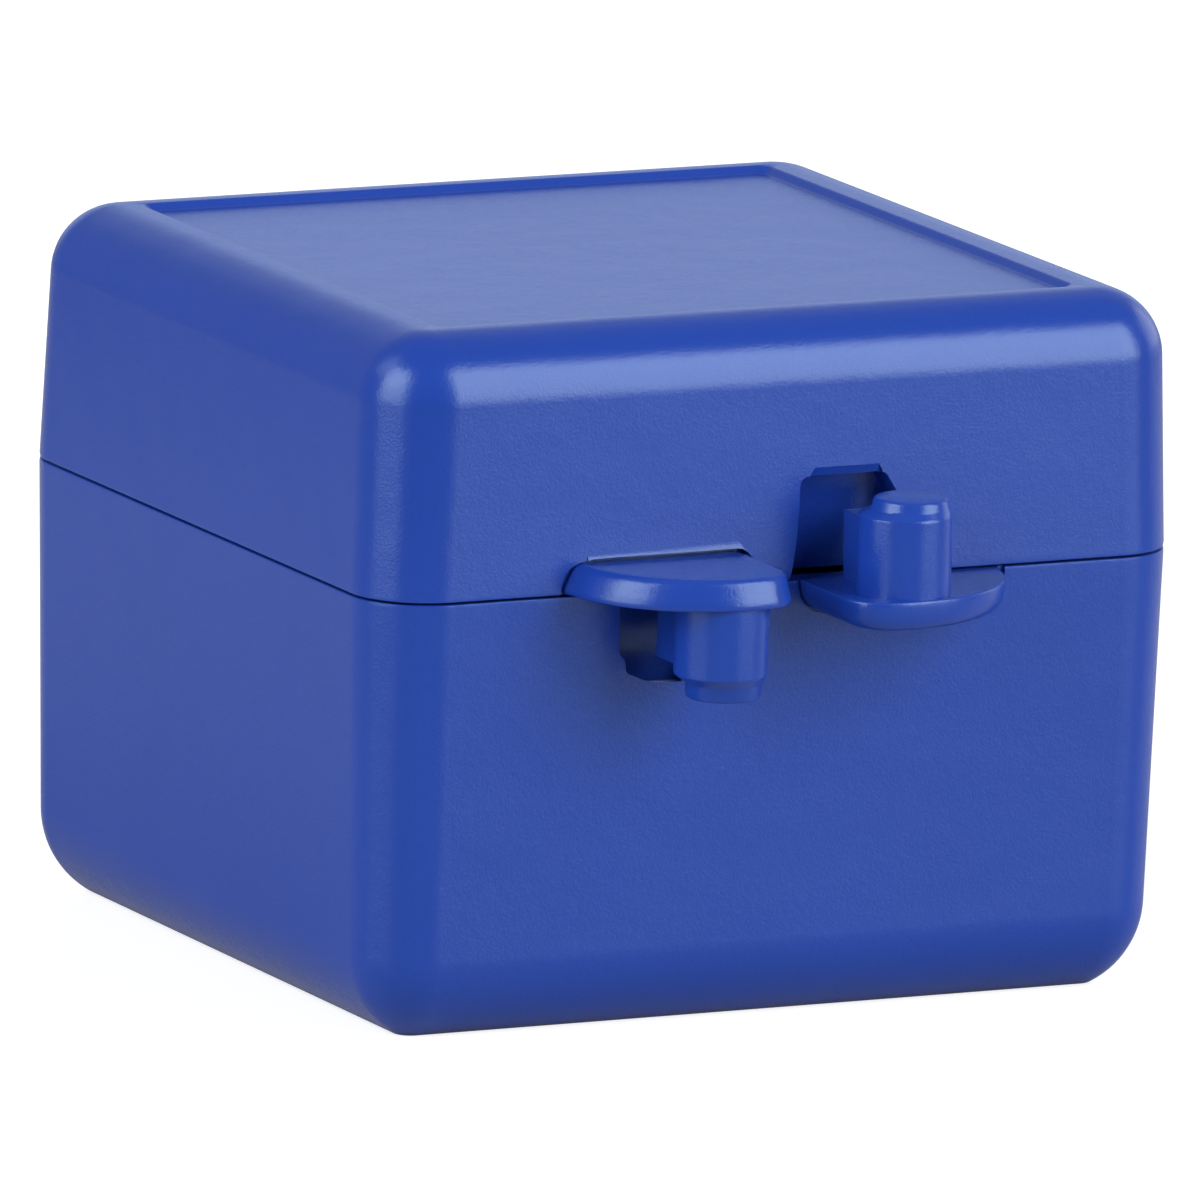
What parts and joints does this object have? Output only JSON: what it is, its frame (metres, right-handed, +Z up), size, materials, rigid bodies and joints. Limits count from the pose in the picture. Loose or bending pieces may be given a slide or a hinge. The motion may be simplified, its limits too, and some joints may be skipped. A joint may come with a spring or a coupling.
{
  "type": "hinged plastic box",
  "caption": "Small moulded plastic box: a deep base and a shallow lid on a pinned back hinge, with round-post snap latch tabs side by side at the front.",
  "frame": {"origin": "middle of the base's flat underside, on the surface that the box stands on", "axes": "+Z up; -Y is the front, where the latch tabs are; +Y is the back, where the hinge is; +X is to the right as seen from the front"},
  "size_m": [0.05, 0.0613, 0.0397],
  "materials": {
    "moulded": "satin injection-moulded blue polypropylene with a fine spark-eroded grain",
    "pin": "drawn steel wire"
  },
  "bodies": {
    "base": {"base_shell": "moulded", "base_knuckle_left": "moulded", "base_knuckle_right": "moulded", "hinge_pin": "pin"},
    "lid": {"lid_shell": "moulded", "lid_knuckle": "moulded"},
    "base_latch": {"base_latch_tab": "moulded"},
    "lid_latch": {"lid_latch_tab": "moulded"}
  },
  "joints": [
    {"name": "lid_hinge", "type": "hinge", "parent": "base", "child": "lid", "pos_m": [0, 0.0268, 0.025], "axis": [-1, 0, 0], "range_deg": [0, 110]},
    {"name": "lid_latch_flex", "type": "hinge", "parent": "lid", "child": "lid_latch", "pos_m": [-0.0082, -0.0239, 0.02682], "axis": [-1, 0, 0], "range_deg": [0, 6], "stiffness_Nm_per_rad": 0.2},
    {"name": "base_latch_flex", "type": "hinge", "parent": "base", "child": "base_latch", "pos_m": [0.007, -0.0239, 0.0233], "axis": [1, 0, 0], "range_deg": [0, 6], "stiffness_Nm_per_rad": 0.2}
  ]
}
